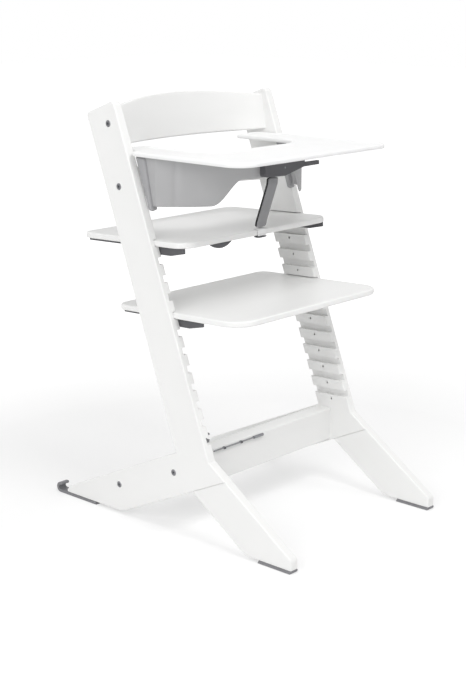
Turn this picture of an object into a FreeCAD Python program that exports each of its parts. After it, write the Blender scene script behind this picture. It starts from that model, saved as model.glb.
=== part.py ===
import FreeCAD, Part
import math
import os
import Sketcher

# Wooden high chair with two side frames, sliding seat and foot plates, a belly guard and a tray.
# Millimetres. +Z is up, the chair faces -Y, its right side (the sitter's) is at -X.
# The origin is on the floor, in the middle of the chair's outer box.

doc = FreeCAD.newDocument("HighChair")
V = FreeCAD.Vector

# ---------------------------------------------------------------- driving dimensions

SIZES = {
    # side frames
    "width": 460, "height": 842, "depth": 657, "board": 20, "boardWide": 82.5,
    "lean": 20.2, "postFoot": -138.7, "jointHeight": 170, "toeHeight": 27,
    "tipRise": 23, "tipBack": 44, "cornerRound": 10, "tipRound": 4, "heelRound": 60, "edgeRound": 2.5,
    # glides under the legs
    "glide": 6, "frontGlideLength": 82, "rearGlideLength": 124, "curlRound": 11, "glideBevel": 3,
    "glideToeRound": 4, "glideScrewSet": 25, "glideScrewGap": 35, "glideScrewLong": 16,
    # rows of grooves and holes
    "grooveDrop": 267.4, "pitch": 33.6, "grooves": 12, "groovePlay": 2, "grooveDeep": 10,
    "plateTilt": 2.06, "holeDrop": 15.2, "holeWide": 5, "footStep": 4,
    # plates
    "plate": 12, "plateSide": 0.6, "plateRest": 0.3, "seatFront": -50.1, "seatRear": 237,
    "footFront": -193, "footRear": 139.3, "seatCorner": 35, "footCorner": 50, "rearCorner": 22,
    "plateRound": 3.5,
    # rails under the plates and their lock bolts
    "railWall": 5, "railDeep": 16.5, "railLip": 5, "railFlange": 15, "railFlangeThick": 3,
    "slotPlay": 0.3, "slideBack": 15, "slideGap": 0.3, "slotSpare": 1, "railRearSet": 12,
    "railNose": 34, "railTaper": 50, "flangeSet": 12, "seatRailAhead": 11.6, "footRailAhead": 106.5,
    "lockHead": 9, "lockHeadHigh": 3, "lockReach": 12, "lockKey": 3,
    "plateScrewLong": 11, "plateScrewHead": 7, "plateScrewHeadHigh": 2, "plateScrewSet": 24,
    # the seat's lever
    "leverPlace": -113, "leverAhead": 4, "leverThick": 4, "leverGap": 0.4, "leverWide": 28, "leverEnd": 20,
    "leverArm": 60, "leverPinSet": 10, "leverPin": 5, "leverPinPlay": 0.1, "leverPinHead": 10,
    "paddleHalf": 30, "paddleDeep": 10,
    # cross members
    "stretcherFront": -66.5, "stretcherDeep": 52, "stretcherLow": 98, "stretcherHigh": 70,
    "stretcherBevelHigh": 11, "stretcherBevelDeep": 18, "stretcherRound": 3, "crossbarWide": 28,
    # back rests
    "backThick": 16, "backTilt": 9.9, "backBow": 45, "backLow": 44, "backEnd": 30,
    "backCrown": 53, "backArch": 6, "backSet": 2.5, "backRound": 3, "railHigh": 60, "railArch": 8,
    # bolts, nuts and dowels
    "boltWide": 6, "boltHead": 13, "boltHeadHigh": 3, "boltSink": 2.5, "boltReach": 16, "boltKey": 5,
    "boltPlay": 0.2, "backBoltDrop": 45.4, "backBoltAhead": 13.1, "railBoltDrop": 118.9,
    "railBoltBehind": 4.2, "beamBoltInset": 11.2, "beamBoltUp": 29.2, "crossbarBehind": 2.5, "crossbarUp": 15,
    "nutWide": 9, "nutLong": 13, "nutSet": 9, "dowelWide": 8, "dowelLong": 40, "screwWide": 3.5,
    # guard and tray
    "guardRound": 246, "guardThick": 3, "guardAhead": 165, "guardHalf": 208,
    "trayDrop": 103.6, "trayThick": 9, "trayHalf": 226, "trayFront": -200.5, "trayTip": 142,
    "trayCorner": 40, "trayDish": 2.5, "trayRim": 9, "cutFront": -46, "cutHalf": 135,
    "trayGap": 2.5, "lift": 0.4, "trayRound": 2.2, "neckSet": 4, "shoulderRound": 12, "neckRound": 4,
    "armEndRound": 14, "armTipRound": 7, "cutRound": 65,
    "guardHigh": 94, "guardArch": 46, "archLow": 118, "archHigh": 86, "archFoot": 30, "archRound": 24,
    "guardEndRound": 9, "rimThick": 3, "rimWide": 8,
    "hookHigh": 104, "hookNear": 196, "hookFar": 214, "hookTop": 14, "hookGap": 0.4,
    # latch housing, release lever and its pin, on the guard's front
    "housingLeft": -35, "housingRight": 84, "housingHigh": 44, "housingTop": 3, "housingDeep": 12,
    "housingBack": 16, "housingStep": 33, "housingFall": 46, "housingKnee": 24,
    "releaseHinge": 24, "releaseDrop": 30, "releasePin": 4, "releaseThick": 4.8, "releaseSet": 3.1,
    "releaseEnd": 134, "releaseHigh": 10, "releaseTip": 8, "releasePlay": 0.1, "slotSet": 0.3,
    # bar between the legs
    "barHalf": 14, "barDrop": 46.5, "barHook": 10, "barThick": 5, "barLip": 14, "barOver": 6,
    "barPlay": 0.6, "barAhead": 7,
    # hex key and its clips
    "keyLeft": -161, "keyBend": -43, "keyRight": -15, "keyWide": 3, "keyGrip": 6, "keyDrop": 4,
    "keyGap": 0.4, "keyPlay": 0.15, "clipFirst": -130, "clipSecond": -80, "clipHalf": 2.6,
    "clipAhead": 2,
}
sizes = doc.addObject("Spreadsheet::Sheet", "Sizes")
for row, (alias, value) in enumerate(SIZES.items(), 1):
    sizes.set("A%d" % row, alias)
    sizes.set("B%d" % row, str(value))
    sizes.setAlias("B%d" % row, alias)

# ---------------------------------------------------------------- sizes that follow from them

LAYOUT = {
    "inner": "Sizes.width / 2 - Sizes.board",
    "slope": "tan(Sizes.lean)",
    "postHalf": "Sizes.boardWide / 2 / cos(Sizes.lean)",
    "postFrontLow": "Sizes.postFoot + slope * Sizes.jointHeight - postHalf",
    "postRearLow": "Sizes.postFoot + slope * Sizes.jointHeight + postHalf",
    "postFrontTop": "Sizes.postFoot + slope * Sizes.height - postHalf",
    "postRearTop": "postFrontTop + Sizes.boardWide * cos(Sizes.lean)",
    "postRearTopZ": "Sizes.height - Sizes.boardWide * sin(Sizes.lean)",
    "toe": "-Sizes.depth / 2",
    "rearEnd": "Sizes.depth / 2",
    "frontRun": "(postFrontLow - toe) / (Sizes.jointHeight - Sizes.toeHeight)",
    "frontShift": "Sizes.boardWide * sqrt(1 + frontRun * frontRun)",
    "tip": "rearEnd - Sizes.tipBack",
    "rearDrop": "(Sizes.jointHeight - Sizes.tipRise) / (tip - postRearLow)",
    "rearShift": "Sizes.boardWide * sqrt(1 + rearDrop * rearDrop)",
    "seamBase": "Sizes.jointHeight - rearShift + rearDrop * postRearLow",
    "noseY": "(toe + (seamBase - Sizes.toeHeight) * frontRun) / (1 + rearDrop * frontRun)",
    "noseZ": "seamBase - rearDrop * noseY",
    "crotchY": "noseY + frontShift / (1 + rearDrop * frontRun)",
    "crotchZ": "seamBase - rearDrop * crotchY",
    "heelY": "toe + (Sizes.glide - Sizes.toeHeight) * frontRun + frontShift",
    "rearHeelY": "(seamBase - Sizes.glide) / rearDrop",
    "legEnd": "rearEnd - 2.5 * Sizes.curlRound",
    "grooveHigh": "Sizes.plate + Sizes.groovePlay",
    "seatZ": "Sizes.height - Sizes.grooveDrop",
    "seatY": "Sizes.postFoot + slope * seatZ",
    "footZ": "seatZ - Sizes.footStep * Sizes.pitch",
    "footY": "Sizes.postFoot + slope * footZ",
    "plateUp": "Sizes.plateRest - grooveHigh / 2",
    "plateHalf": "inner + Sizes.grooveDeep - Sizes.plateSide",
    "backBoltZ": "Sizes.height - Sizes.backBoltDrop",
    "backBoltY": "Sizes.postFoot + slope * backBoltZ - Sizes.backBoltAhead",
    "railBoltZ": "backBoltZ - Sizes.railBoltDrop",
    "railBoltY": "Sizes.postFoot + slope * railBoltZ + Sizes.railBoltBehind",
    "beamBoltY": "Sizes.stretcherFront + Sizes.stretcherDeep - Sizes.beamBoltInset",
    "beamBoltZ": "Sizes.stretcherLow + Sizes.beamBoltUp",
    "crossbarY": "(beamBoltY + tip) / 2 + Sizes.crossbarBehind",
    "crossbarZ": "seamBase - rearDrop * crossbarY + rearShift / 2 + Sizes.crossbarUp",
    "trayLow": "Sizes.height - Sizes.trayDrop",
    "trayShoulder": "Sizes.postFoot + slope * trayLow - postHalf - Sizes.trayGap",
    "guardTop": "trayLow - Sizes.lift",
    "guardFront": "trayShoulder - Sizes.guardAhead",
    "guardCentre": "guardFront + Sizes.guardRound",
}
layout = doc.addObject("Spreadsheet::Sheet", "Layout")
for row, (alias, formula) in enumerate(LAYOUT.items(), 1):
    layout.set("A%d" % row, alias)
    layout.set("B%d" % row, "=" + formula)
    layout.setAlias("B%d" % row, alias)
doc.recompute()


def num(alias):
    """The number in a named cell of either sheet."""
    return float((sizes if alias in SIZES else layout).get(alias))


# ---------------------------------------------------------------- helpers

nodes = []


def keep(item, label):
    """Mark a finished object as a piece of the chair under its own name."""
    item.Label = label
    nodes.append(item)
    return item


def plane(body, role):
    return [item for item in body.Origin.OriginFeatures if item.Role == role][0]


def new_sketch(body, name, role, offset=None):
    """A sketch on one of the body's origin planes, moved along its normal by an expression."""
    item = body.newObject("Sketcher::SketchObject", name)
    item.AttachmentSupport = (plane(body, role), [""])
    item.MapMode = "FlatFace"
    if offset:
        item.setExpression(".AttachmentOffset.Base.z", offset)
    return item


def polygon(sketch, corners):
    """A closed outline whose corners are pairs of expressions, measured from the origin."""
    first = sketch.GeometryCount
    count = len(corners)
    rough = [V(20 * math.cos(6.28 * k / count), 20 * math.sin(6.28 * k / count), 0) for k in range(count)]
    for k in range(count):
        sketch.addGeometry(Part.LineSegment(rough[k], rough[(k + 1) % count]), False)
    for k in range(count):
        follow = first + (k + 1) % count
        sketch.addConstraint(Sketcher.Constraint("Coincident", first + k, 2, follow, 1))
    for k, corner in enumerate(corners):
        for kind, start, formula in zip(("DistanceX", "DistanceY"), rough[k], corner):
            index = sketch.addConstraint(Sketcher.Constraint(kind, -1, 1, first + k, 1, start))
            sketch.setExpression("Constraints[%d]" % index, formula)


def circle(sketch, across, up, diameter):
    """A circle with its centre and diameter given as expressions."""
    index = sketch.addGeometry(Part.Circle(V(10, 10, 0), V(0, 0, 1), 3), False)
    for kind, formula in (("DistanceX", across), ("DistanceY", up)):
        place = sketch.addConstraint(Sketcher.Constraint(kind, -1, 1, index, 3, 10))
        sketch.setExpression("Constraints[%d]" % place, formula)
    place = sketch.addConstraint(Sketcher.Constraint("Diameter", index, 6))
    sketch.setExpression("Constraints[%d]" % place, diameter)


def pad(body, sketch, length):
    feature = body.newObject("PartDesign::Pad", sketch.Name + "Pad")
    feature.Profile = sketch
    feature.setExpression("Length", length)
    sketch.Visibility = False
    return feature


def pocket(body, sketch, length, reverse):
    feature = body.newObject("PartDesign::Pocket", sketch.Name + "Pocket")
    feature.Profile = sketch
    feature.Reversed = reverse
    feature.setExpression("Length", length)
    sketch.Visibility = False
    return feature


def fillet(body, base, picked, radius):
    """Round the picked edges of the body's last feature."""
    names = ["Edge%d" % (k + 1) for k, edge in enumerate(base.Shape.Edges) if picked(edge)]
    feature = body.newObject("PartDesign::Fillet", base.Name + "Round")
    feature.Base = (base, names)
    feature.setExpression("Radius", radius)
    doc.recompute()
    return feature


def along_x(edge, y, z):
    """True for an edge that runs along X through the point y, z."""
    ends = [vertex.Point for vertex in edge.Vertexes]
    return len(ends) == 2 and all(abs(p.y - y) < 0.01 and abs(p.z - z) < 0.01 for p in ends)


def rounded(corners, radii, level=0.0):
    """A closed wire in the XY plane through the corners, with an arc of its own radius at each."""
    count = len(corners)
    points = [V(x, y, level) for x, y in corners]
    starts, ends, middles = [], [], []
    for k, point in enumerate(points):
        before = (points[k - 1] - point).normalize()
        after = (points[(k + 1) % count] - point).normalize()
        half = before.getAngle(after) / 2
        cut = radii[k] / math.tan(half)
        starts.append(point + before * cut)
        ends.append(point + after * cut)
        bisector = (before + after).normalize()
        middles.append(point + bisector * (radii[k] / math.sin(half) - radii[k]))
    edges = []
    for k in range(count):
        if radii[k] > 0:
            edges.append(Part.Arc(starts[k], middles[k], ends[k]).toShape())
        follow = starts[(k + 1) % count]
        if (follow - ends[k]).Length > 1e-4:
            edges.append(Part.LineSegment(ends[k], follow).toShape())
    return Part.Wire(edges)


def slab(corners, radii, low, high):
    """A flat plate between two heights with rounded corners."""
    return Part.Face(rounded(corners, radii, low)).extrude(V(0, 0, high - low))


def side_slab(corners, radii, left, right):
    """The same, drawn in the side view (y, z) and running along X.

    A third of a turn about the cube's diagonal carries X to Y, Y to Z and Z to X.
    """
    shape = slab(corners, radii, left, right)
    shape.rotate(V(0, 0, 0), V(1, 1, 1), 120)
    return shape


def front_slab(corners, radii, front, rear):
    """The same, drawn in the front view (x, z) and running from front to rear along Y."""
    shape = slab(corners, radii, -rear, -front)
    shape.rotate(V(0, 0, 0), V(1, 0, 0), 90)
    return shape


def rod(start, end, diameter):
    start, end = V(*start), V(*end)
    return Part.makeCylinder(diameter / 2, (end - start).Length, start, end - start)


def feature(label, shape):
    """A piece with a shape of its own, built from the sheets' values."""
    item = doc.addObject("Part::Feature", label)
    item.Shape = shape
    return keep(item, label)


SIDES = {"right": -1, "left": 1}


def inside(side):
    """The side frame's inner face as an expression, and whether a cut from it is reversed."""
    return ("-" if side < 0 else "") + "Layout.inner", side > 0


def board_offset(side):
    return "Layout.inner" if side > 0 else "-Sizes.width / 2"


# ---------------------------------------------------------------- side frame boards

def board(name, side, corners, rounds, plain):
    """A board of the side frame: an outline in the side view, rounded corners and softened edges.

    rounds maps a corner's number to its radius; plain lists the outline's sides that meet another
    board and keep their sharp edges.
    """
    body = doc.addObject("PartDesign::Body", name)
    outline = new_sketch(body, name + "Outline", "YZ_Plane", board_offset(side))
    polygon(outline, corners)
    solid = pad(body, outline, "Sizes.board")
    doc.recompute()
    points = [outline.Geometry[k].StartPoint for k in range(len(corners))]
    for k, radius in rounds.items():
        solid = fillet(body, solid, lambda edge: along_x(edge, points[k].x, points[k].y), radius)
    seams = [(points[k], points[(k + 1) % len(points)]) for k in plain]

    def softened(edge):
        ends = [vertex.Point for vertex in edge.Vertexes]
        if abs(ends[0].x - ends[-1].x) > 0.01:
            return False
        middle = edge.valueAt((edge.FirstParameter + edge.LastParameter) / 2)
        flat = V(middle.y, middle.z, 0)
        return all(flat.distanceToLine(a, b - a) > 0.05 for a, b in seams)

    solid = fillet(body, solid, softened, "Sizes.edgeRound")
    return body, solid


def bolt_holes(body, name, side, places):
    """Bolt holes right through a board, each with a sunk seat for its head in the outer face."""
    face = ("-" if side < 0 else "") + "Sizes.width / 2"
    for suffix, wide, deep in (("Hole", "Sizes.boltWide + Sizes.boltPlay", "2 * Sizes.board"),
                               ("Seat", "Sizes.boltHead + 2 * Sizes.boltPlay", "Sizes.boltSink")):
        sketch = new_sketch(body, name + suffix, "YZ_Plane", face)
        for across, up in places:
            circle(sketch, across, up, wide)
        pocket(body, sketch, deep, side < 0)


def post(word, side):
    name = word + "_post"
    corners = (("Layout.postFrontLow", "Sizes.jointHeight"),
               ("Layout.postRearLow", "Sizes.jointHeight"),
               ("Layout.postRearTop", "Layout.postRearTopZ"),
               ("Layout.postFrontTop", "Sizes.height"))
    rounds = {2: "Sizes.cornerRound", 3: "Sizes.cornerRound"}
    body, solid = board(name, side, corners, rounds, (0,))
    face, reverse = inside(side)
    cuts = new_sketch(body, name + "Grooves", "YZ_Plane", face)
    holes = new_sketch(body, name + "Holes", "YZ_Plane", face)
    for step in range(int(num("grooves"))):
        level = "(Layout.seatZ - %d * Sizes.pitch)" % step
        middle = "(Sizes.postFoot + Layout.slope * %s)" % level
        reach = "2 * Layout.postHalf"
        fall = "2 * Layout.postHalf * tan(Sizes.plateTilt)"
        half = "Layout.grooveHigh / 2"
        polygon(cuts, ((middle + " - " + reach, level + " + " + fall + " - " + half),
                       (middle + " + " + reach, level + " - " + fall + " - " + half),
                       (middle + " + " + reach, level + " - " + fall + " + " + half),
                       (middle + " - " + reach, level + " + " + fall + " + " + half)))
        level = "(%s - Sizes.holeDrop)" % level
        circle(holes, "Sizes.postFoot + Layout.slope * " + level, level, "Sizes.holeWide")
    pocket(body, cuts, "Sizes.grooveDeep", reverse)
    pocket(body, holes, "Sizes.grooveDeep + 4", reverse)
    bolt_holes(body, name + "Bolt", side, (("Layout.backBoltY", "Layout.backBoltZ"),
                                           ("Layout.railBoltY", "Layout.railBoltZ")))
    keep(body, name)


def rear_leg(word, side):
    name = word + "_rear_leg"
    corners = (("Layout.noseY", "Layout.noseZ"), ("Layout.rearHeelY", "Sizes.glide"),
               ("Layout.legEnd", "Sizes.glide"), ("Layout.tip", "Sizes.tipRise"),
               ("Layout.postRearLow", "Sizes.jointHeight"),
               ("Layout.postFrontLow", "Sizes.jointHeight"))
    rounds = {1: "Sizes.heelRound", 2: "Sizes.tipRound", 3: "Sizes.tipRound"}
    body, solid = board(name, side, corners, rounds, (4,))
    bolt_holes(body, name + "Bolt", side, (("Layout.beamBoltY", "Layout.beamBoltZ"),
                                           ("Layout.crossbarY", "Layout.crossbarZ")))
    keep(body, name)


def front_leg(word, side):
    name = word + "_front_leg"
    corners = (("Layout.toe", "Sizes.glide"), ("Layout.heelY", "Sizes.glide"),
               ("Layout.crotchY", "Layout.crotchZ"), ("Layout.noseY", "Layout.noseZ"),
               ("Layout.toe", "Sizes.toeHeight"))
    rounds = {0: "2", 1: "Sizes.heelRound", 4: "Sizes.cornerRound"}
    body, solid = board(name, side, corners, rounds, (2,))
    keep(body, name)


for word, side in SIDES.items():
    post(word, side)
    rear_leg(word, side)
    front_leg(word, side)

# ---------------------------------------------------------------- glides under the legs

def glides(word, side):
    outer, inner = side * num("width") / 2, side * num("inner")
    left, right = min(outer, inner), max(outer, inner)
    thick, curl = num("glide"), num("curlRound")
    toe, length = num("toe"), num("frontGlideLength")
    bevel = num("glideBevel")
    front = side_slab(((toe, 0), (toe + length, 0), (toe + length - bevel, thick), (toe, thick)),
                      (num("glideToeRound"), 0, 0, 1), left, right)
    feature(word + "_front_glide", front)
    end = num("rearEnd")
    start = end - num("rearGlideLength")
    hollow = (1.5 * curl - thick) / 2 - 0.1
    rear = side_slab(((start, 0), (end, 0), (end, 2 * curl), (end - 1.5 * curl, 2 * curl),
                      (end - 1.5 * curl, 1.5 * curl), (end - curl / 2, 1.5 * curl),
                      (end - curl / 2, thick), (start + bevel, thick)),
                     (0, curl - 0.1, curl - 0.1, 2, 2, hollow, hollow, 0), left, right)
    feature(word + "_rear_glide", rear)


glide_screws = []
for word, side in SIDES.items():
    glides(word, side)
    middle = side * (num("width") + 2 * num("inner")) / 4
    ahead = num("toe") + num("glideScrewSet")
    behind = num("rearEnd") - num("rearGlideLength") + num("glideScrewSet")
    wide, head_low, head_high = num("screwWide"), 1, 2
    for y in (ahead, ahead + num("glideScrewGap"), behind, behind + num("glideScrewGap")):
        head = Part.makeCone(wide, wide / 2, head_high, V(middle, y, head_low))
        shank = rod((middle, y, head_low + head_high), (middle, y, num("glideScrewLong")), wide)
        glide_screws.append(head.fuse(shank).removeSplitter())
feature("glide_screws", Part.Compound(glide_screws))

# ---------------------------------------------------------------- cross members

def stretcher():
    """The front stretcher, a beam between the rear legs with a bevel that follows them."""
    body = doc.addObject("PartDesign::Body", "front_stretcher")
    outline = new_sketch(body, "StretcherOutline", "YZ_Plane", "-Layout.inner")
    top = "Sizes.stretcherLow + Sizes.stretcherHigh"
    rear = "Sizes.stretcherFront + Sizes.stretcherDeep"
    polygon(outline, (("Sizes.stretcherFront", "Sizes.stretcherLow"), (rear, "Sizes.stretcherLow"),
                      (rear, top + " - Sizes.stretcherBevelHigh"),
                      (rear + " - Sizes.stretcherBevelDeep", top), ("Sizes.stretcherFront", top)))
    solid = pad(body, outline, "2 * Layout.inner")
    doc.recompute()
    fillet(body, solid, lambda edge: abs(edge.Length - 2 * num("inner")) < 0.01,
           "Sizes.stretcherRound")
    keep(body, "front_stretcher")


def crossbar():
    bar = doc.addObject("Part::Cylinder", "rear_crossbar")
    bar.setExpression("Radius", "Sizes.crossbarWide / 2")
    bar.setExpression("Height", "2 * Layout.inner")
    bar.Placement = FreeCAD.Placement(V(0, 0, 0), FreeCAD.Rotation(V(0, 1, 0), 90))
    bar.setExpression("Placement.Base.x", "-Layout.inner")
    bar.setExpression("Placement.Base.y", "Layout.crossbarY")
    bar.setExpression("Placement.Base.z", "Layout.crossbarZ")
    keep(bar, "rear_crossbar")


stretcher()
crossbar()

# ---------------------------------------------------------------- back rests

def bowed_panel(low, end, crown, low_middle):
    """A panel bowed backwards in plan, with arched upper and lower edges, upright at the origin."""
    half, bow, thick = num("inner"), num("backBow"), num("backThick")
    radius = (half * half + bow * bow) / (2 * bow)

    under = -2 * low

    def arc(shift):
        return (V(-half, shift, under), V(0, bow + shift, under), V(half, shift, under))

    near, far = arc(-thick / 2), arc(thick / 2)
    plan = Part.Wire([Part.Arc(*near).toShape(), Part.LineSegment(near[2], far[2]).toShape(),
                      Part.Arc(far[2], far[1], far[0]).toShape(),
                      Part.LineSegment(far[0], near[0]).toShape()])
    sheet = Part.Face(plan).extrude(V(0, 0, 2 * (low + crown)))
    front = -radius
    upper = (V(-half, front, end), V(0, front, crown), V(half, front, end))
    lower = (V(half, front, -low), V(0, front, -low_middle), V(-half, front, -low))
    outline = Part.Wire([Part.Arc(*upper).toShape(), Part.LineSegment(upper[2], lower[0]).toShape(),
                         Part.Arc(*lower).toShape(), Part.LineSegment(lower[2], upper[0]).toShape()])
    panel = sheet.common(Part.Face(outline).extrude(V(0, 2 * radius, 0)))
    long_edges = [edge for edge in panel.Edges if edge.BoundBox.XLength > half]
    return panel.makeFillet(num("backRound"), long_edges)


def back(label, panel, y, z):
    panel.rotate(V(0, 0, 0), V(1, 0, 0), -num("backTilt"))
    panel.translate(V(0, y - num("backSet"), z))
    feature(label, panel)


back("backrest", bowed_panel(num("backLow"), num("backEnd"), num("backCrown"),
                             num("backLow") - num("backArch")), num("backBoltY"), num("backBoltZ"))
half_rail, arch = num("railHigh") / 2, num("railArch")
back("lower_backrest", bowed_panel(half_rail, half_rail, half_rail + arch, half_rail - arch),
     num("railBoltY"), num("railBoltZ"))

# ---------------------------------------------------------------- bolts, barrel nuts and dowels

BOLTS = (("backBoltY", "backBoltZ"), ("railBoltY", "railBoltZ"), ("beamBoltY", "beamBoltZ"),
         ("crossbarY", "crossbarZ"))


def hexagon(across, low, high):
    radius = across / math.sqrt(3)
    turns = [math.pi * k / 3 for k in range(7)]
    points = [V(radius * math.cos(turn), radius * math.sin(turn), low) for turn in turns]
    return Part.Face(Part.makePolygon(points)).extrude(V(0, 0, high - low))


def socket_bolt(head, head_high, shank, length, socket):
    """A flat socket-head bolt along +Z with the underside of its head at the origin."""
    cap = Part.makeCylinder(head / 2, head_high, V(0, 0, -head_high))
    cap = cap.makeChamfer(0.8, [edge for edge in cap.Edges if edge.Vertexes[0].Z < -0.5 * head_high
                                and edge.BoundBox.ZLength < 0.1])
    solid = cap.fuse(Part.makeCylinder(shank / 2, length)).removeSplitter()
    return solid.cut(hexagon(socket, -head_high - 1, -0.6))


bolts, nuts = [], []
for y_name, z_name in BOLTS:
    for side in SIDES.values():
        y, z = num(y_name), num(z_name)
        seat = side * (num("width") / 2 - num("boltSink"))
        bolt = socket_bolt(num("boltHead"), num("boltHeadHigh"), num("boltWide"),
                           num("board") + num("boltReach") - num("boltSink"), num("boltKey"))
        bolt.rotate(V(0, 0, 0), V(0, 1, 0), -90 * side)
        bolt.translate(V(seat, y, z))
        bolts.append(bolt)
        place = side * (num("inner") - num("nutSet"))
        up, wide = num("nutLong") / 2, num("nutWide")
        nut = rod((place, y, z - up), (place, y, z + up), wide)
        nuts.append(nut.cut(rod((place - wide, y, z), (place + wide, y, z), num("boltWide") + 0.1)))
feature("frame_bolts", Part.Compound(bolts))
feature("barrel_nuts", Part.Compound(nuts))

dowels = []
for side in SIDES.values():
    middle = side * (num("width") + 2 * num("inner")) / 4
    half = num("dowelLong") / 2
    for part in (0.28, 0.72):  # where the two dowels stand along each joint
        y = num("postFrontLow") + part * (num("postRearLow") - num("postFrontLow"))
        dowels.append(rod((middle, y, num("jointHeight") - half), (middle, y, num("jointHeight") + half),
                          num("dowelWide")))
        y = num("noseY") + part * (num("crotchY") - num("noseY"))
        z = num("noseZ") + part * (num("crotchZ") - num("noseZ"))
        normal = V(0, num("rearDrop"), 1).normalize() * half
        dowels.append(rod((middle, y - normal.y, z - normal.z), (middle, y + normal.y, z + normal.z),
                          num("dowelWide")))
feature("frame_dowels", Part.Compound(dowels))

# ---------------------------------------------------------------- seat and foot plates

def tilt(item, y, z):
    """Lay a piece drawn level onto the slope of the grooves, with its origin at y, z."""
    item.Placement = FreeCAD.Placement(V(0, 0, 0), FreeCAD.Rotation(V(-1, 0, 0), 2))
    item.setExpression("Placement.Rotation.Angle", "Sizes.plateTilt")
    item.setExpression("Placement.Base.y", y)
    item.setExpression("Placement.Base.z", z + " + Layout.plateUp")


def plate(name, front, rear, corner, y, z):
    body = doc.addObject("PartDesign::Body", name)
    outline = new_sketch(body, name + "Outline", "XY_Plane")
    ahead = "(%s - %s) / cos(Sizes.plateTilt)" % (front, y)
    behind = "(%s - %s) / cos(Sizes.plateTilt)" % (rear, y)
    polygon(outline, (("-Layout.plateHalf", ahead), ("Layout.plateHalf", ahead),
                      ("Layout.plateHalf", behind), ("-Layout.plateHalf", behind)))
    solid = pad(body, outline, "Sizes.plate")
    doc.recompute()
    middle = (outline.Geometry[0].StartPoint.y + outline.Geometry[2].StartPoint.y) / 2

    def upright(edge, ahead_of):
        return edge.BoundBox.ZLength > 1 and (edge.CenterOfMass.y < middle) == ahead_of

    solid = fillet(body, solid, lambda edge: upright(edge, True), corner)
    solid = fillet(body, solid, lambda edge: edge.BoundBox.ZLength > 1 and edge.CenterOfMass.y > middle
                   and edge.Curve.TypeId == "Part::GeomLine" and edge.CenterOfMass.y
                   > outline.Geometry[2].StartPoint.y - 0.01, "Sizes.rearCorner")
    fillet(body, solid, lambda edge: edge.BoundBox.ZLength < 0.1, "Sizes.plateRound")
    tilt(body, y, z)
    keep(body, name)


def rail(name, side, front, rear, y, z):
    """A rail under one side of a plate: a web with a slot for its lock bolt, and a screwed flange."""
    body = doc.addObject("PartDesign::Body", name)
    web_out = "(Layout.inner - Sizes.slideGap)"
    web_in = "(Layout.inner - Sizes.slideGap - Sizes.railWall)"
    flange_in = "(Layout.inner - Sizes.slideGap - Sizes.railWall - Sizes.railFlange)"
    side_view = new_sketch(body, name + "Web", "YZ_Plane", web_in if side > 0 else "-" + web_out)
    ahead = "(%s - %s)" % (front, y)
    behind = "(%s - %s)" % (rear, y)
    polygon(side_view, ((ahead, "0"), (ahead, "-2 * Sizes.railLip"),
                        (ahead + " + Sizes.railNose", "-Sizes.railDeep"),
                        ("Sizes.railNose", "-Sizes.railDeep"), ("Sizes.railTaper", "-Sizes.railLip"),
                        (behind, "-Sizes.railLip"), (behind, "0")))
    pad(body, side_view, "Sizes.railWall")
    flange = new_sketch(body, name + "Flange", "YZ_Plane", web_in if side < 0 else flange_in)
    if side < 0:
        flange.setExpression(".AttachmentOffset.Base.z", "-" + web_in)
    nose, heel = ahead + " + Sizes.flangeSet", behind + " - Sizes.flangeSet"
    polygon(flange, ((nose, "0"), (nose, "-Sizes.railFlangeThick"), (heel, "-Sizes.railFlangeThick"),
                     (heel, "0")))
    pad(body, flange, "Sizes.railFlange")
    drop = "(Sizes.holeDrop + Layout.plateUp)"
    slot = new_sketch(body, name + "Slot", "YZ_Plane", ("" if side > 0 else "-") + web_in)
    high = "(Sizes.holeWide / 2 + Sizes.slotPlay)"
    shift = "(-Layout.slope * Sizes.holeDrop)"
    ahead_end = "%s - Sizes.slideBack - %s - Sizes.slotSpare" % (shift, high)
    behind_end = "%s + %s + Sizes.slotSpare" % (shift, high)
    polygon(slot, ((ahead_end, "-%s - %s" % (drop, high)), (behind_end, "-%s - %s" % (drop, high)),
                   (behind_end, "-%s + %s" % (drop, high)), (ahead_end, "-%s + %s" % (drop, high))))
    pocket(body, slot, "2 * Sizes.railWall", side > 0)
    tilt(body, y, z)
    keep(body, name)


PLATES = {
    "seat": ("Sizes.seatFront", "Sizes.seatRear", "Sizes.seatCorner", "Layout.seatY", "Layout.seatZ"),
    "foot": ("Sizes.footFront", "Sizes.footRear", "Sizes.footCorner", "Layout.footY", "Layout.footZ"),
}
for kind, (front, rear, corner, y, z) in PLATES.items():
    plate(kind + "_plate", front, rear, corner, y, z)
    for word, side in SIDES.items():
        rail("%s_%s_rail" % (word, kind), side, "(%s + Sizes.%sRailAhead)" % (front, kind),
             "(%s - Sizes.railRearSet)" % rear, y, z)
doc.recompute()


def on_plate(shape, kind):
    """Carry a shape from a plate's own level frame to the chair."""
    place = FreeCAD.Placement(V(0, num(kind + "Y"), num(kind + "Z") + num("plateUp")),
                              FreeCAD.Rotation(V(-1, 0, 0), num("plateTilt")))
    shape.Placement = place.multiply(shape.Placement)
    return shape


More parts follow.
